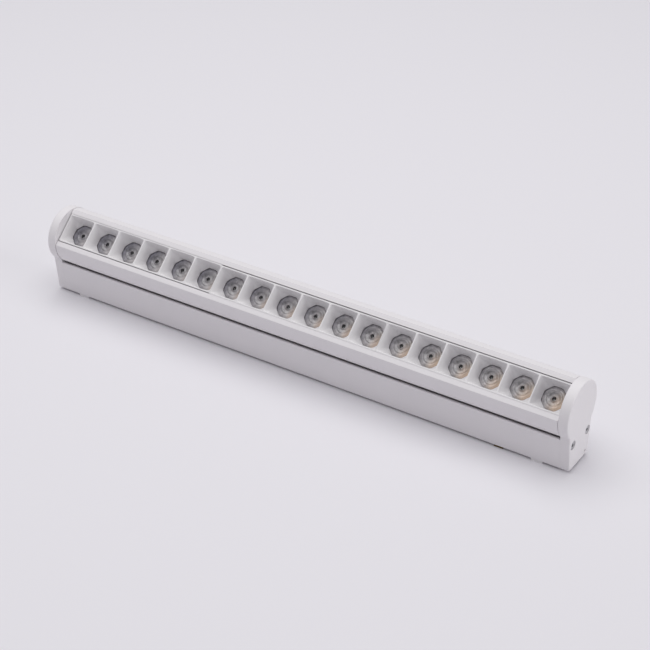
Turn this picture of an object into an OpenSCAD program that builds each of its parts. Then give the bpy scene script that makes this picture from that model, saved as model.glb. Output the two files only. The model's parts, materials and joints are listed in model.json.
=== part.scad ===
// Surface-mounted linear LED batten with a tilting head.
// +X runs along the batten, -Y is the front, +Z is up, and Z = 0 is the surface it stands on.
// The origin lies on that surface, midway along the length and midway between front and back.

/* [Light cells] */
// Length of one lens cell along the batten
cell_pitch = 32; // [30:0.5:36]
// Width of a cell's mouth across the batten
mouth_w = 28.4; // [26:0.2:29]
// Depth of the funnel from its crest to the lens window
funnel_depth = 13; // [10:0.5:13]
// Distance between opposite sides of the octagonal lens window
window_af = 23.6; // [20:0.2:25]
// Thickness of the wall between two mouths
crest_w = 1.2; // [0.8:0.1:2]

/* [Head] */
// Forward tilt of the light beam from straight up, in degrees
tilt_deg = 40.4; // [-90:0.2:90]
// Outer radius of the round head profile
head_r = 28.8; // [28:0.1:28.8]
// Height of the crest of the grille above the tilt axis
crest_h = 19.6; // [18.6:0.2:20.2]
// Wall of the head profile
head_wall = 2.4; // [1.8:0.1:2.8]

/* [Base] */
// Height of the base profile
base_h = 33.8; // [32:0.2:34]
// Width of the base profile at its top
base_top_w = 43; // [39:0.2:44]
// Width of the base profile at its bottom
base_bottom_w = 36; // [33:0.2:39]
// Wall of the base profile
base_wall = 2; // [1.5:0.1:2.4]
// Thickness of an end plate
plate_t = 10; // [8:0.5:14]
// Radius of the round lobe of an end plate
lobe_r = 29.2; // [28.9:0.1:31]

/* [Mounting] */
// Height of the spacer feet under the base
foot_h = 2.5; // [1.5:0.1:4]
// Distance between the two mounting screws
mount_spacing = 531.2; // [400:0.2:540]
// Diameter of a mounting screw hole
mount_hole_d = 5.2; // [4:0.1:6]

/* [Hidden] */
$fn = 96;
eps = 0.01;

// Counts are fixed, because every lens, board and grille has a node of its own.
module_count = 3;
cells_per_module = 6;

module_len = cell_pitch * cells_per_module;
cells_len = module_len * module_count;

// Height of the tilt axis above the surface
pivot_z = foot_h + 57.25;

// End plates, gap to the head, and the head's end caps, measured along the batten
plate_in_x = cells_len / 2 + 1;
plate_out_x = plate_in_x + plate_t;
side_gap = 0.6;
cap_t = 3;
cap_out_x = plate_in_x - side_gap;
cap_in_x = cap_out_x - cap_t;

// Levels inside the head, measured along the beam from the tilt axis
window_h = crest_h - funnel_depth;
grille_bottom_h = window_h - 0.6;
web_top_h = -6;
web_t = 2.5;
board_t = 1.6;
board_top_h = web_top_h + board_t;

// Head profile across the beam
channel_half = 16.1;
rib_t = 2;
head_inner_r = head_r - head_wall;
side_port = [21.4, 8.5];
foot_port = [0, -24.2];
port_hole_r = 1.3;
grille_half = 15.85;
// Each grille snaps in against one side of the channel.
grille_shift = [0.2, -0.2, -0.2];

// Lens
lens_r = 11.4;
lens_flange_r = 11.9;
lens_body_h = -3.6;

// Printed boards and their screws
board_len = 182;
board_w = 30;
board_screw_x = [-64, 0, 64];
board_screw_r = 1.45;

// Tilt pivot
pin_r = 3.5;
pin_hole_r = 2.2;
pin_seat = 6;
pin_reach = 3.4;
bush_r = 4.7;
pin_clearance = 0.05;
washer_t = 0.5;
washer_r = 9;

// Stop pin, which runs in an arc slot of the right cap
stop_radius = 20;
stop_pin_r = 1.5;
stop_slot_half = 1.9;
stop_slot_depth = 2;

// End plate screws
plate_screw_y = 14.5;
plate_screw_z = foot_h + 27.2;
plate_screw_r = 1.95;
plate_recess_r = 4.5;
plate_recess_depth = 4;
screw_web = base_half(plate_screw_z - foot_h) - 1 - plate_screw_y;

// Inside of the base
floor_t = 2.2;
floor_z = foot_h + floor_t;
base_half_len = plate_in_x;

// Driver
driver_len = 180;
driver_w = 25;
driver_h = 18;
sheet_t = 0.8;
driver_tab = 10;
driver_board_z = floor_z + sheet_t + 2.5;
driver_board_top = driver_board_z + board_t;

// Mains side
terminal_x = 142;
terminal_len = 26;
terminal_w = 24;
terminal_h = 12;
pole_pitch = 7.5;
pole_z = floor_z + 6.5;
earth_x = 110;
entry_x = 190;
entry_hole_r = 7.5;
cable_r = 4;
spring_x = 7.06 * cell_pitch;

// Wires
wire_r = 0.9;
wire_gap = 1.06;
wire_z = floor_z + 8;
groove_depth = 4.2;
groove_half = 2.4;

// ---------------------------------------------------------------- helpers

// Moves children from the head's own axes, with the beam along +Z, to their place in the batten.
module in_head() {
    translate([0, 0, pivot_z])
        rotate([tilt_deg, 0, 0])
            children();
}

// Extrudes a cross-section, drawn as [y, z], along the batten, centred on X = 0.
module along_x(len) {
    rotate([90, 0, 90])
        linear_extrude(len, center = true)
            children();
}

// A cylinder along X between two places.
module x_rod(r, x0, x1) {
    translate([x0, 0, 0])
        rotate([0, 90, 0])
            cylinder(r = r, h = x1 - x0);
}

// Turns children that point along +Z to point along d.
module aim(d) {
    rotate([0, acos(d[2] / norm(d)), atan2(d[1], d[0])]) children();
}

// A wire through a list of points, with a slightly thicker ball of insulation at each bend.
// The poles of a ball lie along the stretch after it.
module wire_run(points, r = wire_r, ball = 1.07) {
    for (i = [1:len(points) - 1])
        translate(points[i - 1])
            aim(points[i] - points[i - 1])
                cylinder(r = r, h = norm(points[i] - points[i - 1]), $fn = 24);
    if (len(points) > 2)
        for (i = [1:len(points) - 2])
            translate(points[i])
                aim(points[i + 1] - points[i])
                    sphere(r * ball, $fn = 24);
}

// A round-headed screw that points down, with the underside of its head at the origin.
module pan_screw(r, len, head_r, head_h, drive_r = 0) {
    difference() {
        union() {
            cylinder(r = head_r, h = head_h, $fn = 48);
            translate([0, 0, -len]) cylinder(r = r, h = len + eps, $fn = 48);
        }
        if (drive_r > 0)
            translate([0, 0, head_h * 0.4]) cylinder(r = drive_r, h = head_h, $fn = 6);
    }
}

// X of the middle of a module, and of a cell counted from 1 at the left end.
function module_x(i) = (i - (module_count + 1) / 2) * module_len;
function cell_x(i) = (i - (module_count * cells_per_module + 1) / 2) * cell_pitch;

// Outline of the base in [y, z], from its underside up to a height h.
function base_half(h) = base_bottom_w / 2 + (base_top_w - base_bottom_w) / 2 * h / base_h;

module base_outline(h, inset = 0, z0 = 0) {
    polygon([
        [-base_half(z0) + inset, z0],
        [base_half(z0) - inset, z0],
        [base_half(h) - inset, h],
        [-base_half(h) + inset, h]
    ]);
}

// ---------------------------------------------------------------- base

module base_section() {
    difference() {
        union() {
            difference() {
                base_outline(base_h);
                base_outline(base_h + 1, base_wall, floor_t);
            }
            for (s = [-1, 1])
                translate([s * plate_screw_y, plate_screw_z - foot_h]) circle(3.4);
            for (s = [-1, 1])
                translate([s * (plate_screw_y + screw_web / 2), plate_screw_z - foot_h])
                    square([screw_web, 3], center = true);
        }
        for (s = [-1, 1])
            translate([s * plate_screw_y, plate_screw_z - foot_h]) circle(plate_screw_r + 0.05);
    }
}

module base_channel() {
    color("white")
        difference() {
            translate([0, 0, foot_h]) along_x(2 * base_half_len) base_section();
            for (s = [-1, 1])
                translate([s * mount_spacing / 2, 0, 0]) cylinder(d = mount_hole_d, h = 10);
            for (s = [-1, 1])
                translate([s * (driver_len + driver_tab) / 2, 0, 0]) cylinder(r = 1.5, h = 10);
            translate([earth_x, 0, 0]) cylinder(r = 2, h = 10);
            translate([entry_x, 0, 0]) cylinder(r = entry_hole_r, h = 10);
        }
}

module plate_outline() {
    translate([0, pivot_z - foot_h]) circle(lobe_r, $fn = 180);
    base_outline(base_h + 5);
}

// An end plate with its inner face at plate_in_x, on the right-hand side.
module end_plate() {
    difference() {
        translate([(plate_in_x + plate_out_x) / 2, 0, foot_h]) along_x(plate_t) plate_outline();
        translate([0, 0, pivot_z]) x_rod(pin_r, plate_in_x - 1, plate_in_x + pin_seat);
        for (s = [-1, 1])
            translate([0, s * plate_screw_y, plate_screw_z]) {
                x_rod(plate_screw_r + 0.15, plate_in_x - 1, plate_out_x + 1);
                x_rod(plate_recess_r, plate_out_x - plate_recess_depth, plate_out_x + 1);
            }
        translate([0, 13, foot_h + 4.7])
            x_rod(1.4, plate_out_x - 5, plate_out_x + 1);
    }
}

module end_plate_right() {
    color("white")
        difference() {
            end_plate();
            translate([0, 0, pivot_z - stop_radius])
                x_rod(stop_pin_r, plate_in_x - 1, plate_in_x + 5);
        }
}

module end_plate_left() {
    color("white")
        difference() {
            mirror([1, 0, 0]) end_plate();
            translate([-plate_in_x - groove_depth, -groove_half, wire_z - 2])
                cube([groove_depth + 1, 2 * groove_half, pivot_z - wire_z + 2]);
        }
}

module end_plate_screws() {
    color("dimgray")
        for (sx = [-1, 1])
            for (sy = [-1, 1])
                translate([sx * (plate_out_x - plate_recess_depth), sy * plate_screw_y, plate_screw_z])
                    rotate([0, sx * 90, 0])
                        pan_screw(plate_screw_r, 18, 4.1, 3.4, 1.7);
}

module pivot_pin_right() {
    color("silver")
        translate([0, 0, pivot_z])
            x_rod(pin_r, plate_in_x - pin_reach, plate_in_x + pin_seat);
}

module pivot_pin_left() {
    color("silver")
        translate([0, 0, pivot_z])
            difference() {
                x_rod(pin_r, -plate_in_x - pin_seat, -plate_in_x + pin_reach);
                x_rod(pin_hole_r, -plate_in_x - pin_seat - 1, -plate_in_x + pin_reach + 1);
                translate([-plate_in_x - groove_depth, -pin_hole_r, -pin_r - 1])
                    cube([groove_depth, 2 * pin_hole_r, pin_r + 1]);
            }
}

module stop_pin() {
    color("silver")
        translate([0, 0, pivot_z - stop_radius])
            x_rod(stop_pin_r, plate_in_x - side_gap - stop_slot_depth + 0.5, plate_in_x + 5);
}

module friction_washers() {
    color("ivory")
        for (s = [-1, 1])
            translate([s * (plate_in_x - washer_t / 2), 0, pivot_z])
                difference() {
                    x_rod(washer_r, -washer_t / 2, washer_t / 2);
                    x_rod(pin_r + 0.1, -1, 1);
                }
}

module mounting_foot(x) {
    color("white")
        translate([x, 0, 0])
            difference() {
                translate([-6, -base_bottom_w / 2 + 0.2, 0])
                    cube([12, base_bottom_w - 0.4, foot_h]);
                translate([0, 0, -1]) cylinder(d = mount_hole_d, h = foot_h + 2);
            }
}

// A bent strip under the front edge that grips the mounting rail.
module latch_spring() {
    color("saddlebrown")
        translate([spring_x, 0, 0])
            rotate([90, 0, 90])
                linear_extrude(9.6, center = true)
                    polygon([
                        [-base_bottom_w / 2 + 0.4, foot_h - 1.9],
                        [-base_bottom_w / 2 + 1.4, foot_h - 2.2],
                        [-base_bottom_w / 2 + 9, foot_h - 0.5],
                        [4, foot_h - 0.5],
                        [4, foot_h],
                        [-base_bottom_w / 2 + 8.8, foot_h],
                        [-base_bottom_w / 2 + 1.6, foot_h - 1.6]
                    ]);
}

module cable_grommet() {
    color("dimgray")
        translate([entry_x, 0, 0])
            difference() {
                union() {
                    translate([0, 0, foot_h - 1.2]) cylinder(r = entry_hole_r + 1.5, h = 1.2);
                    translate([0, 0, foot_h - eps]) cylinder(r = entry_hole_r, h = floor_t + 2 * eps);
                    translate([0, 0, floor_z]) cylinder(r = entry_hole_r + 1.5, h = 1.6);
                }
                cylinder(r = cable_r, h = 20);
            }
}

// ---------------------------------------------------------------- driver

module driver_case() {
    color("silver")
        translate([0, 0, floor_z]) {
            difference() {
                translate([-driver_len / 2, -driver_w / 2, 0]) cube([driver_len, driver_w, driver_h]);
                translate([-driver_len / 2 + sheet_t, -driver_w / 2 + sheet_t, sheet_t])
                    cube([driver_len - 2 * sheet_t, driver_w - 2 * sheet_t, driver_h]);
                for (s = [-1, 1])
                    translate([s * driver_len / 2 - 2, -8.5, driver_board_top - floor_z + 0.6])
                        cube([4, 17, 7]);
            }
            for (s = [-1, 1])
                difference() {
                    translate([s * (driver_len + driver_tab) / 2 - driver_tab / 2, -6, 0])
                        cube([driver_tab, 12, sheet_t]);
                    translate([s * (driver_len + driver_tab) / 2, 0, -1]) cylinder(r = 1.6, h = 3);
                }
            for (sx = [-1, 1])
                for (sy = [-1, 1])
                    translate([sx * 78, sy * 8, sheet_t - eps]) cylinder(r = 1.8, h = 2.5 + eps);
        }
}

module driver_lid() {
    color("silver")
        translate([0, 0, floor_z + driver_h]) {
            translate([-driver_len / 2, -driver_w / 2, 0]) cube([driver_len, driver_w, sheet_t]);
            for (s = [-1, 1])
                translate([-60, s * (driver_w / 2 - 1.4) - 0.4, -5]) cube([120, sheet_t, 5 + eps]);
        }
}

module driver_board() {
    color("darkgreen")
        translate([-86, -10.5, driver_board_z]) cube([172, 21, board_t]);
}

module driver_transformer() {
    translate([10, 0, driver_board_top]) {
        color("dimgray")
            difference() {
                translate([-10, -8, 1]) cube([20, 16, 10.5]);
                translate([-7, -9, 3]) cube([14, 18, 6.5]);
            }
        color("goldenrod") translate([0, 0, 3]) rotate([0, 0, 0]) cylinder(r = 6.6, h = 6.5);
        color("black") translate([-9, -7, 0]) cube([18, 14, 1]);
    }
}

module driver_choke() {
    color("orange")
        translate([58, 0, driver_board_top + 2.6])
            rotate_extrude()
                translate([5.4, 0]) circle(2.6, $fn = 32);
}

module driver_capacitors() {
    color("navy")
        for (x = [-66, -42, -18])
            translate([x, -4.5, driver_board_top + 5.1]) x_rod(5, -9, 9);
    color("firebrick")
        translate([28, -6, driver_board_top]) cube([16, 6, 9]);
}

module driver_connectors() {
    color("green")
        for (s = [-1, 1])
            translate([s * 82, 0, driver_board_top])
                difference() {
                    translate([-4.5, -8, 0]) cube([9, 16, 7]);
                    for (y = [-5, 0, 5])
                        translate([0, y, 3.4]) x_rod(1.3, -6, 6);
                }
}

module driver_screws() {
    color("silver")
        for (s = [-1, 1])
            translate([s * (driver_len + driver_tab) / 2, 0, floor_z + sheet_t])
                pan_screw(1.45, 2.8, 2.8, 1.8, 1.1);
}

module terminal_block() {
    color("whitesmoke")
        translate([terminal_x, 0, floor_z])
            difference() {
                translate([-terminal_len / 2, -terminal_w / 2, 0])
                    cube([terminal_len, terminal_w, terminal_h]);
                for (y = [-pole_pitch, 0, pole_pitch])
                    translate([0, y, pole_z - floor_z]) {
                        x_rod(2, -terminal_len / 2 - 1, terminal_len / 2 + 1);
                        for (s = [-1, 1])
                            translate([s * 7, 0, 0]) cylinder(r = 2, h = terminal_h);
                    }
            }
    color("silver")
        for (y = [-pole_pitch, 0, pole_pitch])
            for (s = [-1, 1])
                translate([terminal_x + s * 7, y, pole_z + 1]) cylinder(r = 1.9, h = 3.2);
}

module earth_stud() {
    color("silver")
        translate([earth_x, 0, floor_z + 1]) pan_screw(1.95, 3, 3.6, 2.4, 1.4);
    color("gold")
        translate([earth_x, 0, floor_z])
            difference() {
                cylinder(r = 4.2, h = 1);
                translate([0, 0, -1]) cylinder(r = 2, h = 3);
            }
}

module earth_lead() {
    color("yellowgreen")
        wire_run([
            [earth_x + 5.2, 0, floor_z + 1],
            [earth_x + 8, 0, floor_z + 2],
            [terminal_x - 21, 0, pole_z],
            [terminal_x - 9.5, 0, pole_z]
        ]);
}

module mains_leads() {
    connector_z = driver_board_top + 3.4;
    for (s = [-1, 1])
        color(s < 0 ? "saddlebrown" : "steelblue")
            wire_run([
                [83.5, s * 5, connector_z],
                [97, s * 5, connector_z],
                [terminal_x - 21, s * pole_pitch, pole_z],
                [terminal_x - 9.5, s * pole_pitch, pole_z]
            ]);
}

module output_leads() {
    connector_z = driver_board_top + 3.4;
    wall_x = -plate_in_x - 2;
    turn = 2.2;
    for (s = [-1, 1])
        color(s < 0 ? "black" : "firebrick")
            wire_run([
                [-83.5, s * 5, connector_z],
                [-97, s * 5, connector_z],
                [-118, s * wire_gap, wire_z],
                [wall_x + turn, s * wire_gap, wire_z],
                [wall_x, s * wire_gap, wire_z + turn],
                [wall_x, s * wire_gap, pivot_z - turn],
                [wall_x + turn, s * wire_gap, pivot_z],
                [-plate_in_x + pin_reach - 0.5, s * wire_gap, pivot_z]
            ], ball = 1.12);
}

// ---------------------------------------------------------------- head

module head_disc_2d(r) {
    intersection() {
        circle(r, $fn = 180);
        translate([-r, -r - 1]) square([2 * r, r + 1 + crest_h]);
    }
}

module head_section() {
    difference() {
        union() {
            difference() {
                head_disc_2d(head_r);
                intersection() {
                    circle(head_inner_r, $fn = 180);
                    translate([-head_r, -head_r - 1])
                        square([2 * head_r, head_r + 1 + crest_h - head_wall]);
                }
            }
            intersection() {
                circle(head_r - 1, $fn = 180);
                union() {
                    for (s = [-1, 1])
                        translate([s * (channel_half + rib_t / 2) - rib_t / 2, web_top_h - web_t])
                            square([rib_t, crest_h - web_top_h + web_t - 1]);
                    translate([-head_r, web_top_h - web_t]) square([2 * head_r, web_t]);
                    for (s = [-1, 1])
                        translate([s * side_port[0], side_port[1]]) circle(3.4);
                    translate(foot_port) circle(3);
                }
            }
        }
        translate([-channel_half, web_top_h]) square([2 * channel_half, 40]);
        for (s = [-1, 1])
            translate([s * side_port[0], side_port[1]]) circle(port_hole_r);
        translate(foot_port) circle(port_hole_r);
    }
}

module board_screw_places() {
    for (m = [1:module_count])
        for (x = board_screw_x)
            translate([module_x(m) + x, 0, 0]) children();
}

module head_tube() {
    color("white")
        in_head()
            difference() {
                along_x(2 * cap_in_x) head_section();
                board_screw_places()
                    translate([0, 0, web_top_h - web_t - 1])
                        cylinder(r = board_screw_r + 0.05, h = web_t + 2, $fn = 32);
            }
}

// End cap of the head, drawn for the right-hand side in the head's own axes.
module cap_body() {
    difference() {
        translate([(cap_in_x + cap_out_x) / 2, 0, 0])
            along_x(cap_t)
                difference() {
                    head_disc_2d(head_r);
                    translate([-channel_half, grille_bottom_h - 0.1])
                        square([2 * channel_half, 40]);
                    circle(bush_r);
                }
        for (p = [side_port, [-side_port[0], side_port[1]], foot_port])
            translate([0, p[0], p[1]]) {
                x_rod(port_hole_r + 0.1, cap_in_x - 1, cap_out_x + 1);
                translate([cap_out_x - 1.5, 0, 0])
                    rotate([0, 90, 0])
                        cylinder(r1 = 1.45, r2 = 2.95, h = 1.5 + eps);
            }
    }
}

module head_cap_right() {
    color("white")
        in_head()
            difference() {
                cap_body();
                translate([cap_out_x, 0, 0])
                    along_x(2 * stop_slot_depth) {
                        intersection() {
                            difference() {
                                circle(stop_radius + stop_slot_half, $fn = 180);
                                circle(stop_radius - stop_slot_half, $fn = 180);
                            }
                            translate([-head_r, -head_r]) square([2 * head_r, head_r]);
                        }
                        for (s = [-1, 1])
                            translate([s * stop_radius, 0]) circle(stop_slot_half);
                    }
            }
}

module head_cap_left() {
    color("white") in_head() mirror([1, 0, 0]) cap_body();
}

module cap_screws() {
    color("silver")
        in_head()
            for (sx = [0, 1])
                mirror([sx, 0, 0])
                    for (p = [side_port, [-side_port[0], side_port[1]], foot_port])
                        translate([0, p[0], p[1]]) {
                            x_rod(port_hole_r - 0.05, cap_in_x - 8, cap_out_x - 1);
                            translate([cap_out_x - 1.45, 0, 0])
                                rotate([0, 90, 0])
                                    difference() {
                                        cylinder(r1 = 1.3, r2 = 2.7, h = 1.4);
                                        translate([0, 0, 0.7]) cylinder(r = 0.9, h = 2, $fn = 6);
                                    }
                        }
}

module pivot_bush(side) {
    color("goldenrod")
        in_head()
            translate([side * (cap_in_x + cap_out_x) / 2, 0, 0])
                difference() {
                    x_rod(bush_r, -cap_t / 2, cap_t / 2);
                    x_rod(pin_r + pin_clearance, -cap_t, cap_t);
                }
}

module led_board(m) {
    color("white")
        in_head()
            translate([module_x(m), 0, web_top_h])
                difference() {
                    translate([-board_len / 2, -board_w / 2, 0]) cube([board_len, board_w, board_t]);
                    for (x = board_screw_x)
                        translate([x, 0, -1]) cylinder(r = board_screw_r + 0.15, h = 4, $fn = 32);
                }
}

module led_emitters() {
    color("khaki")
        in_head()
            for (i = [1:module_count * cells_per_module])
                translate([cell_x(i), 0, board_top_h]) {
                    translate([-1.75, -1.75, 0]) cube([3.5, 3.5, 0.7]);
                    intersection() {
                        translate([0, 0, 0.5]) sphere(1.5, $fn = 32);
                        translate([-2, -2, 0.4]) cube([4, 4, 4]);
                    }
                }
}

module board_screws() {
    color("silver")
        in_head()
            board_screw_places()
                translate([0, 0, board_top_h]) pan_screw(board_screw_r, 4.6, 2.7, 1.8, 1);
}

module board_links() {
    for (s = [-1, 1])
        color(s < 0 ? "black" : "firebrick")
            in_head()
                for (m = [1:module_count - 1])
                    wire_run([
                        [module_x(m) + board_len / 2 - 2, s * 4, board_top_h + wire_r],
                        [module_x(m + 1) - board_len / 2 + 2, s * 4, board_top_h + wire_r]
                    ]);
}

module head_leads() {
    for (s = [-1, 1])
        color(s < 0 ? "black" : "firebrick")
            in_head()
                wire_run([
                    [-plate_in_x + pin_reach + 1.4, s * wire_gap, 0],
                    [-plate_in_x + pin_reach + 1.4, s * wire_gap, board_top_h + wire_r],
                    [module_x(1) - board_len / 2 + 2, s * 4, board_top_h + wire_r]
                ]);
}

module lens(i) {
    color("gainsboro")
        in_head()
            translate([cell_x(i), 0, 0]) {
                rotate_extrude()
                    polygon([
                        [0, 0.8],
                        [3.2, 0.2],
                        [3.2, lens_body_h],
                        [5.4, lens_body_h],
                        [lens_r, grille_bottom_h - 1.2],
                        [lens_flange_r, grille_bottom_h - 1.2],
                        [lens_flange_r, grille_bottom_h],
                        [4.2, grille_bottom_h],
                        [3.6, grille_bottom_h - 1.8],
                        [0, grille_bottom_h - 1.8]
                    ]);
                for (a = [0, 120, 240])
                    rotate([0, 0, a + 90])
                        translate([4.4, 0, board_top_h])
                            cylinder(r = 0.8, h = lens_body_h - board_top_h + 0.4, $fn = 24);
            }
}

module grille(m) {
    color("white")
        in_head()
            translate([module_x(m), grille_shift[m - 1], 0])
                difference() {
                    translate([-module_len / 2 + 0.1, -grille_half, grille_bottom_h])
                        cube([module_len - 0.2, 2 * grille_half, crest_h - grille_bottom_h]);
                    for (c = [1:cells_per_module])
                        translate([(c - (cells_per_module + 1) / 2) * cell_pitch, -grille_shift[m - 1], 0]) {
                            hull() {
                                translate([0, grille_shift[m - 1], crest_h + 0.1])
                                    cube([cell_pitch - crest_w, mouth_w, 0.2], center = true);
                                translate([0, 0, window_h])
                                    rotate([0, 0, 22.5])
                                        cylinder(d = window_af / cos(22.5), h = 0.1, $fn = 8);
                            }
                            translate([0, 0, grille_bottom_h - 1])
                                rotate([0, 0, 22.5])
                                    cylinder(d = (window_af - 0.6) / cos(22.5), h = 2, $fn = 8);
                        }
                }
}

// ---------------------------------------------------------------- assembly

base_channel();
end_plate_left();
end_plate_right();
end_plate_screws();
pivot_pin_left();
pivot_pin_right();
stop_pin();
friction_washers();
mounting_foot(-mount_spacing / 2);  // mounting_foot_left
mounting_foot(mount_spacing / 2);  // mounting_foot_right
latch_spring();
cable_grommet();
driver_case();
driver_lid();
driver_board();
driver_transformer();
driver_choke();
driver_capacitors();
driver_connectors();
driver_screws();
terminal_block();
earth_stud();
earth_lead();
mains_leads();
output_leads();
head_tube();
head_cap_left();
head_cap_right();
cap_screws();
pivot_bush(-1);  // pivot_bush_left
pivot_bush(1);  // pivot_bush_right
head_leads();
board_links();
board_screws();
led_board(1);  // led_board_1
led_board(2);  // led_board_2
led_board(3);  // led_board_3
led_emitters();
grille(1);  // grille_1
grille(2);  // grille_2
grille(3);  // grille_3
lens(1);  // lens_01
lens(2);  // lens_02
lens(3);  // lens_03
lens(4);  // lens_04
lens(5);  // lens_05
lens(6);  // lens_06
lens(7);  // lens_07
lens(8);  // lens_08
lens(9);  // lens_09
lens(10);  // lens_10
lens(11);  // lens_11
lens(12);  // lens_12
lens(13);  // lens_13
lens(14);  // lens_14
lens(15);  // lens_15
lens(16);  // lens_16
lens(17);  // lens_17
lens(18);  // lens_18
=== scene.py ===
# %% [markdown]
# # A tilting LED strip batten
# The fitting is a round white head, full of square louvre cells, held between two end plates on
# a slim box base. The frame from the CAD model gives every size and place. This lesson adds
# what a camera sees: soft edges, moulded funnels, clear lenses, paint, plastic and steel.

# %% Load the frame
import json
import math

import bmesh
import bpy
from mathutils import Matrix, Vector


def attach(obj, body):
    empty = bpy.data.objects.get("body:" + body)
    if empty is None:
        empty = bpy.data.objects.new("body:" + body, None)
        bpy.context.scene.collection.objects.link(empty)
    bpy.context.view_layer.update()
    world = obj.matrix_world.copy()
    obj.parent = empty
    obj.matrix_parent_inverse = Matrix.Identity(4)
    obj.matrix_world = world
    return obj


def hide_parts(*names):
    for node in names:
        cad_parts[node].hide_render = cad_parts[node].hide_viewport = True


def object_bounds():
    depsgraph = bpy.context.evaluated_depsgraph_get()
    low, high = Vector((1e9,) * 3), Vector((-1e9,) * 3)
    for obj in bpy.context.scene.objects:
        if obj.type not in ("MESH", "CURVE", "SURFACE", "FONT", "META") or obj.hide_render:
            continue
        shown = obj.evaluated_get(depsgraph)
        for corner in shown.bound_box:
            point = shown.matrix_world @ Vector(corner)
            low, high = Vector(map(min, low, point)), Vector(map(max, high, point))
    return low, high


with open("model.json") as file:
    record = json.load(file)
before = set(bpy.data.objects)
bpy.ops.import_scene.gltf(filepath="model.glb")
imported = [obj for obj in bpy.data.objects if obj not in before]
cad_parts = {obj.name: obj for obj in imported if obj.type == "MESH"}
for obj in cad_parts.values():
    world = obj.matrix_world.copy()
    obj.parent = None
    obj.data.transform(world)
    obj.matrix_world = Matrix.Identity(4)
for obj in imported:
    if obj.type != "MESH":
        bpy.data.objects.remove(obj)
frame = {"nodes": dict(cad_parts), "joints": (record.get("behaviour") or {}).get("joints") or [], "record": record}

cad_low, cad_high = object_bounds()
MM = 0.001
print("CAD box in mm:", [round(v / MM, 1) for v in cad_high - cad_low])

# %% [markdown]
# ## Where the head is
# The head turns on one hinge. Its travel is even about straight up, so the middle of its range
# says how far it leans forward at rest. Pieces on the head are drawn upright, with the beam
# along +Z and the tilt axis at zero, and one matrix puts them in place.

# %% The head's own axes
tilt_joint = frame["joints"][0]
tilt = -math.radians(sum(tilt_joint["range_deg"]) / 2)
pivot = Vector(tilt_joint["pos_m"])
HEAD = Matrix.Translation(pivot) @ Matrix.Rotation(tilt, 4, "X")
print("lean at rest:", round(math.degrees(tilt), 1), "degrees")

# %% [markdown]
# ## The viewpoint
# A long lens from well back keeps the lines of the batten almost parallel. Azimuth, elevation
# and a distance from an aim point are easier to think about than raw camera coordinates.

# %% Camera
AIM = Vector((0.0241, 0.0, 0.0554))
AZIMUTH, ELEVATION, ROLL = math.radians(33.14), math.radians(32.71), math.radians(-0.31)
DISTANCE = 1.7486
SENSOR, FOCAL_LENGTH = 36, 100.3
backwards = Vector((math.sin(AZIMUTH) * math.cos(ELEVATION),
                    -math.cos(AZIMUTH) * math.cos(ELEVATION),
                    math.sin(ELEVATION)))
camera = bpy.data.objects.new("camera", bpy.data.cameras.new("camera"))
bpy.context.scene.collection.objects.link(camera)
camera.location = AIM + backwards * DISTANCE
look = (-backwards).to_track_quat("-Z", "Y")
camera.rotation_mode = "QUATERNION"
camera.rotation_quaternion = look @ Matrix.Rotation(ROLL, 3, "Z").to_quaternion()
camera.data.sensor_width, camera.data.lens = SENSOR, FOCAL_LENGTH
bpy.context.scene.camera = camera

# %% [markdown]
# ## Floor and light
# White goods photograph well in a bright tent: light from all round, one big soft lamp overhead
# and a weaker one beyond the right-hand end. The top then reads lightest, the end next, and the
# front falls into half shade, with only a faint darkening on the floor at its foot.

# %% Small helpers for nodes
def new_material(name):
    material = bpy.data.materials.new(name)
    material.use_nodes = True
    shader = material.node_tree.nodes["Principled BSDF"]
    return material, shader


def add_node(tree, kind, **settings):
    node = tree.nodes.new(kind)
    for key, value in settings.items():
        setattr(node, key, value)
    return node


# %% Light tent
scene = bpy.context.scene
scene.view_settings.view_transform = "Standard"
world = bpy.data.worlds.new("light_tent")
world.use_nodes = True
world.node_tree.nodes["Background"].inputs["Color"].default_value = (0.97, 0.96, 1.0, 1)
world.node_tree.nodes["Background"].inputs["Strength"].default_value = 0.36
scene.world = world


def soft_lamp(name, place, size, power, target=(0, 0, 0)):
    data = bpy.data.lights.new(name, "AREA")
    data.shape = "RECTANGLE"
    data.size, data.size_y = size
    data.energy = power
    lamp = bpy.data.objects.new(name, data)
    scene.collection.objects.link(lamp)
    lamp.location = place
    lamp.rotation_mode = "QUATERNION"
    lamp.rotation_quaternion = (Vector(target) - Vector(place)).to_track_quat("-Z", "Y")
    return lamp


soft_lamp("overhead_bank", (-0.35, 0.15, 2.5), (3.0, 2.8), 49)
soft_lamp("side_bank", (4.3, 0.3, 1.4), (2.2, 1.8), 45)

# %% Pale floor
FLOOR_HALF = 6
floor_mesh = bpy.data.meshes.new("floor")
bm = bmesh.new()
bmesh.ops.create_grid(bm, x_segments=1, y_segments=1, size=FLOOR_HALF)
bm.to_mesh(floor_mesh)
bm.free()
floor = bpy.data.objects.new("floor", floor_mesh)
scene.collection.objects.link(floor)
floor.location.z = cad_low.z
paper, paper_shader = new_material("pale_paper")
paper_shader.inputs["Base Color"].default_value = (0.80, 0.785, 0.82, 1)
paper_shader.inputs["Roughness"].default_value = 0.9
floor.data.materials.append(paper)

# %% [markdown]
# ## Shared effects
# Two small node groups do the work that paint, plastic and metal have in common: a faint cloudy
# change of tone, and a fine grain that drives the bump and the gloss.

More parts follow.
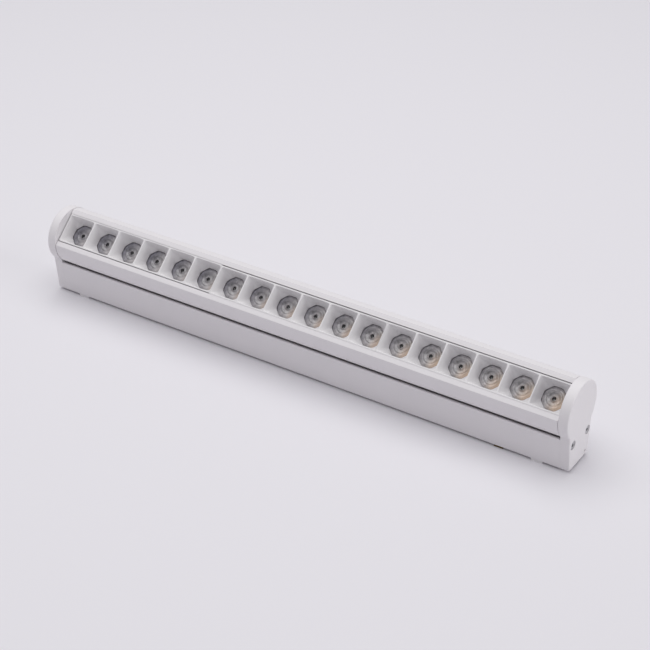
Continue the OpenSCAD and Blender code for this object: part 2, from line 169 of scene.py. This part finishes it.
# %% Node groups
def new_group(name, inputs, outputs):
    group = bpy.data.node_groups.new(name, "ShaderNodeTree")
    for label, kind, value in inputs:
        socket = group.interface.new_socket(label, in_out="INPUT", socket_type=kind)
        socket.default_value = value
    for label, kind in outputs:
        group.interface.new_socket(label, in_out="OUTPUT", socket_type=kind)
    ends = group.nodes.new("NodeGroupInput"), group.nodes.new("NodeGroupOutput")
    return group, ends[0].outputs, ends[1].inputs


def noise_in(group, scale, detail=3.0):
    place = group.nodes.new("ShaderNodeTexCoord")
    noise = add_node(group, "ShaderNodeTexNoise")
    noise.inputs["Detail"].default_value = detail
    group.links.new(place.outputs["Object"], noise.inputs["Vector"])
    group.links.new(scale, noise.inputs["Scale"])
    return noise.outputs["Fac"]


def make_tone_group():
    group, given, result = new_group(
        "cloudy_tone",
        [("Color", "NodeSocketColor", (0.8, 0.8, 0.8, 1)),
         ("Scale", "NodeSocketFloat", 30.0),
         ("Amount", "NodeSocketFloat", 0.03)],
        [("Color", "NodeSocketColor")])
    centred = add_node(group, "ShaderNodeMath", operation="SUBTRACT")
    centred.inputs[1].default_value = 0.5
    scaled = add_node(group, "ShaderNodeMath", operation="MULTIPLY_ADD")
    scaled.inputs[2].default_value = 1.0
    tint = add_node(group, "ShaderNodeVectorMath", operation="SCALE")
    group.links.new(noise_in(group, given["Scale"]), centred.inputs[0])
    group.links.new(centred.outputs[0], scaled.inputs[0])
    group.links.new(given["Amount"], scaled.inputs[1])
    group.links.new(given["Color"], tint.inputs[0])
    group.links.new(scaled.outputs[0], tint.inputs["Scale"])
    group.links.new(tint.outputs[0], result["Color"])
    return group


def make_grain_group():
    group, given, result = new_group(
        "fine_grain",
        [("Scale", "NodeSocketFloat", 900.0),
         ("Roughness", "NodeSocketFloat", 0.45),
         ("Spread", "NodeSocketFloat", 0.1)],
        [("Height", "NodeSocketFloat"), ("Roughness", "NodeSocketFloat")])
    grain = noise_in(group, given["Scale"], 2.0)
    centred = add_node(group, "ShaderNodeMath", operation="SUBTRACT")
    centred.inputs[1].default_value = 0.5
    rough = add_node(group, "ShaderNodeMath", operation="MULTIPLY_ADD")
    group.links.new(grain, centred.inputs[0])
    group.links.new(centred.outputs[0], rough.inputs[0])
    group.links.new(given["Spread"], rough.inputs[1])
    group.links.new(given["Roughness"], rough.inputs[2])
    group.links.new(grain, result["Height"])
    group.links.new(rough.outputs[0], result["Roughness"])
    return group


TONE, GRAIN = make_tone_group(), make_grain_group()


def dress(name, color, rough, metallic=0.0, tone=0.03, tone_scale=30.0,
          grain_scale=900.0, grain_depth=0.02, spread=0.08, coat=0.0):
    """A painted, moulded or metal finish with cloudy tone, grain in the gloss and a fine bump."""
    material, shader = new_material(name)
    tree = material.node_tree
    cloud = add_node(tree, "ShaderNodeGroup", node_tree=TONE)
    cloud.inputs["Color"].default_value = (*color, 1)
    cloud.inputs["Scale"].default_value = tone_scale
    cloud.inputs["Amount"].default_value = tone
    grain = add_node(tree, "ShaderNodeGroup", node_tree=GRAIN)
    grain.inputs["Scale"].default_value = grain_scale
    grain.inputs["Roughness"].default_value = rough
    grain.inputs["Spread"].default_value = spread
    bump = add_node(tree, "ShaderNodeBump")
    bump.inputs["Strength"].default_value = 0.4
    bump.inputs["Distance"].default_value = grain_depth * MM
    tree.links.new(cloud.outputs["Color"], shader.inputs["Base Color"])
    tree.links.new(grain.outputs["Roughness"], shader.inputs["Roughness"])
    tree.links.new(grain.outputs["Height"], bump.inputs["Height"])
    tree.links.new(bump.outputs["Normal"], shader.inputs["Normal"])
    shader.inputs["Metallic"].default_value = metallic
    shader.inputs["Coat Weight"].default_value = coat
    return material


# %% Finishes, one for each slot of the record
finish = {
    "white_powder_coat": dress("white_powder_coat", (0.81, 0.785, 0.803), 0.5, grain_depth=0.03),
    "white_plastic": dress("white_plastic", (0.80, 0.783, 0.793), 0.42, tone=0.02),
    "white_board": dress("white_board", (0.74, 0.74, 0.72), 0.35),
    "steel": dress("zinc_steel", (0.55, 0.55, 0.56), 0.3, metallic=1.0),
    "zinc_sheet": dress("zinc_sheet", (0.6, 0.61, 0.62), 0.38, metallic=1.0, tone=0.2),
    "bush_bronze": dress("sintered_bronze", (0.52, 0.34, 0.16), 0.5, metallic=1.0),
    "spring_bronze": dress("dark_bronze", (0.26, 0.17, 0.06), 0.4, metallic=0.7),
    "washer_nylon": dress("natural_nylon", (0.72, 0.70, 0.62), 0.45),
    "grommet_rubber": dress("black_rubber", (0.02, 0.02, 0.02), 0.75),
    "green_board": dress("green_board", (0.02, 0.16, 0.06), 0.4),
    "ferrite": dress("ferrite_and_tape", (0.05, 0.05, 0.055), 0.6),
    "copper_winding": dress("enamelled_copper", (0.55, 0.22, 0.08), 0.35, metallic=0.8),
    "capacitor_sleeve": dress("capacitor_sleeve", (0.02, 0.03, 0.12), 0.3),
    "green_connector": dress("green_connector", (0.03, 0.28, 0.07), 0.4),
    "earth_wire": dress("earth_insulation", (0.3, 0.42, 0.03), 0.4),
    "brown_wire": dress("brown_insulation", (0.12, 0.04, 0.015), 0.4),
    "black_wire": dress("black_insulation", (0.02, 0.02, 0.02), 0.4),
}

# %% [markdown]
# ## Lens acrylic and phosphor
# A collimating lens throws a narrow beam, so an eye near its axis sees the warm phosphor spread
# over the whole lens, and an eye well off the axis sees only grey. A real lens does that with
# total reflection inside it. Here the acrylic is part clear and part milky, and that image of the
# phosphor is painted into its colour: a painted reflection whose tint follows the angle between
# the eye and a direction that leans outwards a little towards the rim, so the painted warm tone
# gathers on the side nearest the eye, and it fades slowly along the row. A second colour map,
# driven by the distance from the axis, paints shade into the hole in the middle and painted light
# and shade on the soft rings round it.

# %% Lens and phosphor
LEAN_PER_METRE = 22
LENS_RIM = 12.0
ACRYLIC_INDEX = 1.49

acrylic, shader = new_material("acrylic_and_painted_phosphor")
tree = acrylic.node_tree
local = add_node(tree, "ShaderNodeTexCoord")
lean = add_node(tree, "ShaderNodeVectorMath", operation="MULTIPLY_ADD")
lean.inputs[1].default_value = (LEAN_PER_METRE, LEAN_PER_METRE, 0)
lean.inputs[2].default_value = (0, 0, 1)
outward = add_node(tree, "ShaderNodeVectorTransform", vector_type="NORMAL",
                   convert_from="OBJECT", convert_to="WORLD")
angle = add_node(tree, "ShaderNodeLayerWeight")
angle.inputs["Blend"].default_value = 0.5
# Painted reflection: the warm image of the phosphor near the axis and a darker grey far off it, chosen by the
# eye's angle.
painted_phosphor_tint = add_node(tree, "ShaderNodeValToRGB")
painted_phosphor_tint.color_ramp.elements[0].position = 0.03
painted_phosphor_tint.color_ramp.elements[0].color = (0.98, 0.74, 0.56, 1)
painted_phosphor_tint.color_ramp.elements[1].position = 0.30
painted_phosphor_tint.color_ramp.elements[1].color = (0.38, 0.37, 0.43, 1)
grey = painted_phosphor_tint.color_ramp.elements.new(0.11)
grey.color = (0.76, 0.725, 0.735, 1)
cloud = add_node(tree, "ShaderNodeGroup", node_tree=TONE)
cloud.inputs["Scale"].default_value = 170.0
cloud.inputs["Amount"].default_value = 1.9
flat = add_node(tree, "ShaderNodeVectorMath", operation="MULTIPLY")
flat.inputs[1].default_value = (1, 1, 0)
radius = add_node(tree, "ShaderNodeVectorMath", operation="LENGTH")
per_rim = add_node(tree, "ShaderNodeMath", operation="DIVIDE")
per_rim.inputs[1].default_value = LENS_RIM * MM
# Painted shade: near black in the pin hole in the middle, with painted light and shade on the rings round it.
painted_hole_and_ring_shade = add_node(tree, "ShaderNodeValToRGB")
painted_hole_and_ring_shade.color_ramp.elements[0].position = 0.125
painted_hole_and_ring_shade.color_ramp.elements[0].color = (0.05, 0.05, 0.05, 1)
painted_hole_and_ring_shade.color_ramp.elements[1].position = 0.98
painted_hole_and_ring_shade.color_ramp.elements[1].color = (0.9, 0.9, 0.9, 1)
for share_of_rim, value in ((0.20, 0.8), (0.38, 0.9), (0.58, 0.78), (0.70, 0.95), (0.86, 0.92)):
    band = painted_hole_and_ring_shade.color_ramp.elements.new(share_of_rim)
    band.color = (value, value, value, 1)
shade = add_node(tree, "ShaderNodeVectorMath", operation="MULTIPLY")
for source, target in [
        (local.outputs["Object"], lean.inputs[0]), (lean.outputs[0], outward.inputs[0]),
        (outward.outputs[0], angle.inputs["Normal"]),
        (angle.outputs["Facing"], painted_phosphor_tint.inputs["Fac"]),
        (painted_phosphor_tint.outputs["Color"], cloud.inputs["Color"]), (local.outputs["Object"], flat.inputs[0]),
        (flat.outputs[0], radius.inputs[0]), (radius.outputs["Value"], per_rim.inputs[0]),
        (per_rim.outputs[0], painted_hole_and_ring_shade.inputs["Fac"]), (cloud.outputs["Color"], shade.inputs[0]),
        (painted_hole_and_ring_shade.outputs["Color"], shade.inputs[1]),
        (shade.outputs[0], shader.inputs["Base Color"])]:
    tree.links.new(source, target)
shader.inputs["Roughness"].default_value = 0.16
shader.inputs["IOR"].default_value = ACRYLIC_INDEX
shader.inputs["Transmission Weight"].default_value = 0.45
shader.inputs["Coat Weight"].default_value = 0.8
shader.inputs["Coat Roughness"].default_value = 0.08
finish["clear_lens"] = acrylic
finish["led_phosphor"] = dress("warm_phosphor", (0.85, 0.45, 0.10), 0.5)

slot_of = {s["node"]: s["material_slot"] for s in frame["record"]["subparts"]}
for name, piece in frame["nodes"].items():
    piece.data.materials.clear()
    piece.data.materials.append(finish[slot_of[name]])
print("finishes made:", len(finish))

# %% [markdown]
# ## Louvre grilles
# Each grille is one moulding with six funnels. A funnel starts as a square mouth with tight
# corners and ends as an octagon round the lens. Rings of points, one below the other and joined
# by faces, give the slow blend between the walls that a mould has and a plain loft of flat
# sides does not.

# %% One ring of a funnel
PITCH, MOUTH, WINDOW = 32.0, 28.4, 23.6
CREST, SILL, UNDERSIDE = 19.6, 6.6, 6.0
HALF, CREST_WIDTH = 15.5, 1.2
CELLS, PER_CORNER = 6, 6
TIGHT_CORNER = 1.3


def octagon(half_x, half_y, corner):
    """Corner points of a rectangle with its corners cut off, listed round the ring."""
    x, y, c = half_x, half_y, corner
    return [Vector(p) for p in ((x, -y + c), (x, y - c), (x - c, y), (-x + c, y),
                                (-x, y - c), (-x, -y + c), (-x + c, -y), (x - c, -y))]


def rounded(corners, share):
    """The same outline with each corner eased into a curve of PER_CORNER points."""
    points = []
    for i, corner in enumerate(corners):
        before = (corners[i - 1] + corner) / 2
        after = (corner + corners[(i + 1) % len(corners)]) / 2
        start, stop = corner.lerp(before, share), corner.lerp(after, share)
        for u in (0, 0.25, 0.5, 0.75, 1):
            points.append(start.lerp(corner, u).lerp(corner.lerp(stop, u), u))
        points.append(after)
    return points


def tile_edge(points, half_x, half_y):
    """Carries a ring straight out to the rectangle of its tile, with a point on each corner."""
    out = []
    for i, p in enumerate(points):
        corner = i % (2 * PER_CORNER) == 2 * PER_CORNER - 1
        on_x_side = i % (4 * PER_CORNER) < 2 * PER_CORNER
        x = math.copysign(half_x, p.x) if corner or on_x_side else p.x
        y = math.copysign(half_y, p.y) if corner or not on_x_side else p.y
        out.append(Vector((x, y)))
    return out


def funnel_rings(shift):
    """Rings of one cell from the crest down to the underside, each as (points, height, offset)."""
    half_x, half_y = (PITCH - CREST_WIDTH) / 2, MOUTH / 2
    rings = []
    for grow, drop in ((0.42, 0.0), (0.2, 0.06), (0.06, 0.2), (0.0, 0.42)):
        mouth = rounded(octagon(half_x + grow, half_y + grow, TIGHT_CORNER + grow), 0.9)
        rings.append((mouth, CREST - drop, shift))
    steps, lip = 10, 0.42
    cut = WINDOW / 2 * (2 - math.sqrt(2))
    for k in range(1, steps + 1):
        t = k / steps
        x = half_x + (WINDOW / 2 - half_x) * t
        y = half_y + (WINDOW / 2 - half_y) * t
        ease = 0.9 - 0.5 * t ** 3
        rings.append((rounded(octagon(x, y, TIGHT_CORNER + (cut - TIGHT_CORNER) * t), ease),
                      CREST - lip + (SILL + 0.3 - CREST + lip) * t, shift * (1 - t)))
    for size, height in ((WINDOW / 2 - 0.12, SILL + 0.05), (WINDOW / 2 - 0.3, SILL - 0.12),
                         (WINDOW / 2 - 0.3, UNDERSIDE)):
        ring = rounded(octagon(size, size, size * (2 - math.sqrt(2))), 0.4)
        rings.append((ring, height, 0.0))
    return rings


# %% Six funnels make a grille
def link(name, bm, slot, body, replaces=()):
    """Turns a bmesh drawn in mm, on the axes of its own body, into a finished piece."""
    mesh = bpy.data.meshes.new(name)
    bmesh.ops.recalc_face_normals(bm, faces=bm.faces)
    bm.to_mesh(mesh)
    bm.free()
    mesh.transform((HEAD if body == "head" else Matrix()) @ Matrix.Scale(MM, 4))
    return place(name, mesh, slot, body, replaces)


def place(name, mesh, slot, body, replaces, matrix=Matrix()):
    """Links a mesh in metres as a piece that rides on its body."""
    piece = bpy.data.objects.new(name, mesh)
    scene.collection.objects.link(piece)
    piece.matrix_world = matrix
    mesh.materials.clear()
    mesh.materials.append(finish[slot])
    for polygon in mesh.polygons:
        polygon.use_smooth = True
    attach(piece, body)
    if replaces:
        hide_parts(*replaces)
    return piece


def make_grille(module, shift):
    bm = bmesh.new()
    middle = (module - 2) * PITCH * CELLS
    rings = funnel_rings(shift)
    top = tile_edge(rings[0][0], PITCH / 2, HALF)
    rings = [(top, CREST, shift)] + rings + [(top, UNDERSIDE, shift)]
    for c in range(CELLS):
        x0 = middle + (c - (CELLS - 1) / 2) * PITCH
        rows = []
        for points, height, offset in rings:
            rows.append([bm.verts.new((x0 + p.x, p.y + offset, height)) for p in points])
        count = len(rows[0])
        for upper, lower in zip(rows, rows[1:]):
            for i in range(count):
                j = (i + 1) % count
                bm.faces.new((upper[i], upper[j], lower[j], lower[i]))
    bmesh.ops.remove_doubles(bm, verts=bm.verts, dist=0.005)
    end, end_gap = CELLS * PITCH / 2, 0.1
    for v in bm.verts:
        if abs(abs(v.co.x - middle) - end) < 0.01:
            v.co.x -= math.copysign(end_gap, v.co.x - middle)
    rim = [e for e in bm.edges if len(e.link_faces) == 1]
    bmesh.ops.bridge_loops(bm, edges=rim)
    piece = link(f"louvre_grille_{module}", bm, "white_plastic", "head", [f"grille_{module}"])
    bevel = piece.modifiers.new("bevel", "BEVEL")
    bevel.width = 0.3 * MM
    bevel.segments = 3
    bevel.limit_method = "ANGLE"
    bevel.angle_limit = math.radians(70)
    shade = piece.modifiers.new("shade", "WEIGHTED_NORMAL")
    shade.keep_sharp = False
    return piece


SHIFTS = {1: 0.25, 2: -0.4, 3: -0.4}
for module, shift in SHIFTS.items():
    grille = make_grille(module, shift)
    print(grille.name, "faces:", len(grille.data.polygons))

# %% [markdown]
# ## Lenses
# A lens is a turned shape, so its half profile is spun about the beam. The top has two shallow
# rings, moulded to spread the beam a little, and a blind hole in the middle where the mould's
# pin stood, with a raised rim that catches the light. The cone below turns the light forward,
# and the hollow under it holds the LED. All eighteen lenses share one mesh, so each one is only
# a place.

# %% Spin a profile
def spin(profile, sides=64):
    """A closed turned solid from (radius, height) pairs that start and end on the axis."""
    bm = bmesh.new()
    rows = []
    for radius, height in profile:
        if radius == 0:
            rows.append([bm.verts.new((0, 0, height))])
        else:
            rows.append([bm.verts.new((radius * math.cos(2 * math.pi * i / sides),
                                       radius * math.sin(2 * math.pi * i / sides), height))
                         for i in range(sides)])
    for a, b in zip(rows, rows[1:]):
        for i in range(sides):
            j = (i + 1) % sides
            if len(a) == 1:
                bm.faces.new((a[0], b[i], b[j]))
            elif len(b) == 1:
                bm.faces.new((a[i], b[0], a[j]))
            else:
                bm.faces.new((a[i], b[i], b[j], a[j]))
    return bm


LENS_PROFILE = [
    (0, 3.4), (1.4, 3.4), (1.7, 3.6), (1.9, 5.9), (2.1, 6.25), (2.5, 6.3), (3.0, 5.9), (3.7, 5.55),
    (4.6, 5.7), (5.6, 5.95), (6.2, 6.12), (6.6, 6.16), (7.0, 6.1), (7.4, 5.98), (7.7, 5.95),
    (8.1, 6.0), (8.8, 6.05), (9.6, 5.98), (10.4, 5.8), (11.1, 5.6), (11.5, 5.45), (11.9, 5.4),
    (11.9, 4.2), (11.4, 4.1), (8.6, -0.6), (5.4, -3.5), (5.1, -3.6), (3.4, -3.6),
    (3.2, -3.4), (3.2, 0.0), (2.9, 0.3), (0, 0.8)]

bm = spin(LENS_PROFILE)
bmesh.ops.recalc_face_normals(bm, faces=bm.faces)
lens_mesh = bpy.data.meshes.new("ring_lens")
bm.to_mesh(lens_mesh)
bm.free()
lens_mesh.transform(Matrix.Scale(MM, 4))
LENSES = 3 * CELLS
for number in range(1, LENSES + 1):
    x = (number - (LENSES + 1) / 2) * PITCH * MM
    lens = place(f"ring_lens_{number:02d}", lens_mesh, "clear_lens", "head",
                 [f"lens_{number:02d}"], HEAD @ Matrix.Translation((x, 0, 0)))
print("lenses:", number, "faces each:", len(lens.data.polygons))

# %% [markdown]
# ## End plates
# An end plate is a casting with a round lobe over a tapered foot. Its outline is pulled through
# a few rings: square at the inner face, where it meets the base without a gap, and well rounded
# at the outer face. The screw recesses and the pin's seat are bored out of it afterwards.

# %% Outline of an end plate
PIVOT_Z, FOOT = pivot.z / MM, 2.5
LOBE, TOP_WIDTH, BOTTOM_WIDTH, SIDE = 29.2, 43.0, 36.0, 33.8
LOBE_START = 40.5
FOOT_STEPS = (0, 12, 24, 35)


def plate_outline():
    """Points (y, z) of the tapered foot and the lobe above it, going round once."""
    slope = (TOP_WIDTH - BOTTOM_WIDTH) / 2 / SIDE
    joint = math.acos((PIVOT_Z - LOBE_START) / LOBE)
    points = [Vector((BOTTOM_WIDTH / 2 + slope * h, FOOT + h)) for h in FOOT_STEPS]
    steps = 72
    for i in range(steps + 1):
        a = joint + (2 * math.pi - 2 * joint) * i / steps
        points.append(Vector((LOBE * math.sin(a), PIVOT_Z - LOBE * math.cos(a))))
    points += [Vector((-p.x, p.y)) for p in reversed(points[:len(FOOT_STEPS)])]
    return points


def inset(points, amount):
    moved = []
    for i, p in enumerate(points):
        along = (points[(i + 1) % len(points)] - points[i - 1]).normalized()
        moved.append(p + Vector((-along.y, along.x)) * amount)
    return moved


# %% Loft and bore the plates
def stack(bm, rings):
    """Joins rings of equal length into a closed body with flat ends."""
    rows = [[bm.verts.new(p) for p in ring] for ring in rings]
    for a, b in zip(rows, rows[1:]):
        for i in range(len(a)):
            j = (i + 1) % len(a)
            bm.faces.new((a[i], a[j], b[j], b[i]))
    bm.faces.new(rows[0])
    bm.faces.new(list(reversed(rows[-1])))


def rod(bm, x0, x1, y, z, radius, sides=40):
    rings = [[(x, y + radius * math.cos(2 * math.pi * i / sides),
               z + radius * math.sin(2 * math.pi * i / sides)) for i in range(sides)]
             for x in (x0, x1)]
    stack(bm, rings)


INNER, OUTER, SOFT = 289.0, 299.0, 1.5
SCREW_Y, SCREW_Z = 14.5, FOOT + 27.2
SCREW_HOLE, RECESS, RECESS_FLOOR = 2.1, 4.5, 295
PIN, PIN_SEAT = 3.5, 295
SMALL_HOLE = (13, FOOT + 4.7, 1.4)
STOP_Z, STOP_PIN = PIVOT_Z - 20, 1.5
BLIND, BEFORE, BEYOND = 294, 280, 305
GROOVE_HALF, GROOVE_FLOOR, GROOVE_LOW = 2.4, 293.2, FOOT + 8.2


def make_plate(side, node):
    outline = plate_outline()
    bm = bmesh.new()
    rings = []
    for x, amount in [(INNER, 0.12), (INNER + 0.12, 0.0), (INNER + 4, 0.0), (OUTER - SOFT, 0.0)]:
        rings.append([(side * x, p.x, p.y) for p in inset(outline, amount)])
    for k in range(1, 6):
        a = math.pi / 2 * k / 5
        x, amount = OUTER - SOFT + SOFT * math.sin(a), SOFT * (1 - math.cos(a))
        rings.append([(side * x, p.x, p.y) for p in inset(outline, amount)])
    stack(bm, rings)
    plate = link(node + "_cast", bm, "white_powder_coat", "base", [node])
    holes = bmesh.new()
    for y in (-SCREW_Y, SCREW_Y):
        rod(holes, side * BEFORE, side * BEYOND, y, SCREW_Z, SCREW_HOLE)
        rod(holes, side * RECESS_FLOOR, side * BEYOND, y, SCREW_Z, RECESS)
    rod(holes, side * BEFORE, side * PIN_SEAT, 0, PIVOT_Z, PIN)
    rod(holes, side * BLIND, side * BEYOND, *SMALL_HOLE)
    if side > 0:
        rod(holes, BEFORE, BLIND, 0, STOP_Z, STOP_PIN)
    else:
        corners = [(-GROOVE_HALF, GROOVE_LOW), (GROOVE_HALF, GROOVE_LOW),
                   (GROOVE_HALF, PIVOT_Z), (-GROOVE_HALF, PIVOT_Z)]
        stack(holes, [[(x, *corner) for corner in corners] for x in (-GROOVE_FLOOR, -BEFORE)])
    bmesh.ops.recalc_face_normals(holes, faces=holes.faces)
    cutter_mesh = bpy.data.meshes.new("bores")
    holes.to_mesh(cutter_mesh)
    holes.free()
    cutter_mesh.transform(Matrix.Scale(MM, 4))
    cutter = bpy.data.objects.new("bores", cutter_mesh)
    scene.collection.objects.link(cutter)
    cut = plate.modifiers.new("bore", "BOOLEAN")
    cut.object, cut.solver, cut.use_self = cutter, "EXACT", True
    bpy.context.view_layer.update()
    bored = bpy.data.meshes.new_from_object(
        plate.evaluated_get(bpy.context.evaluated_depsgraph_get()))
    plate.modifiers.clear()
    plate.data = bored
    bpy.data.objects.remove(cutter)
    for polygon in bored.polygons:
        polygon.use_smooth = True
    bored.set_sharp_from_angle(angle=math.radians(35))
    edge = plate.modifiers.new("edge", "BEVEL")
    edge.width, edge.segments = 0.2 * MM, 2
    edge.limit_method, edge.angle_limit = "ANGLE", math.radians(60)
    shade = plate.modifiers.new("shade", "WEIGHTED_NORMAL")
    shade.keep_sharp = True
    return plate


for side, name in ((-1, "end_plate_left"), (1, "end_plate_right")):
    plate = make_plate(side, name)
    print(plate.name, "faces:", len(plate.data.polygons))

# %% [markdown]
# ## Soft edges
# Real paint and real tools leave no knife edges. The CAD pieces keep their shape, and a short
# chain of modifiers rounds them: weld the triangles, melt flat areas into single faces, bevel
# what is still sharp, and even out the shading.

# %% Round the edges of CAD pieces
def soften(name, width_mm, segments=2):
    piece = frame["nodes"][name]
    weld = piece.modifiers.new("weld", "WELD")
    weld.merge_threshold = 0.002 * MM
    melt = piece.modifiers.new("melt", "DECIMATE")
    melt.decimate_type = "DISSOLVE"
    melt.angle_limit = math.radians(0.6)
    bevel = piece.modifiers.new("bevel", "BEVEL")
    bevel.width = width_mm * MM
    bevel.segments = segments
    bevel.limit_method = "ANGLE"
    bevel.angle_limit = math.radians(40)
    bevel.miter_outer = "MITER_ARC"
    shade = piece.modifiers.new("shade", "WEIGHTED_NORMAL")
    shade.keep_sharp = False


EDGES = {"base_channel": 0.35, "head_tube": 0.45, "head_cap_left": 0.2, "head_cap_right": 0.2,
         "mounting_foot_left": 0.4, "mounting_foot_right": 0.4}
for name, width in EDGES.items():
    soften(name, width)
    print("softened", name)
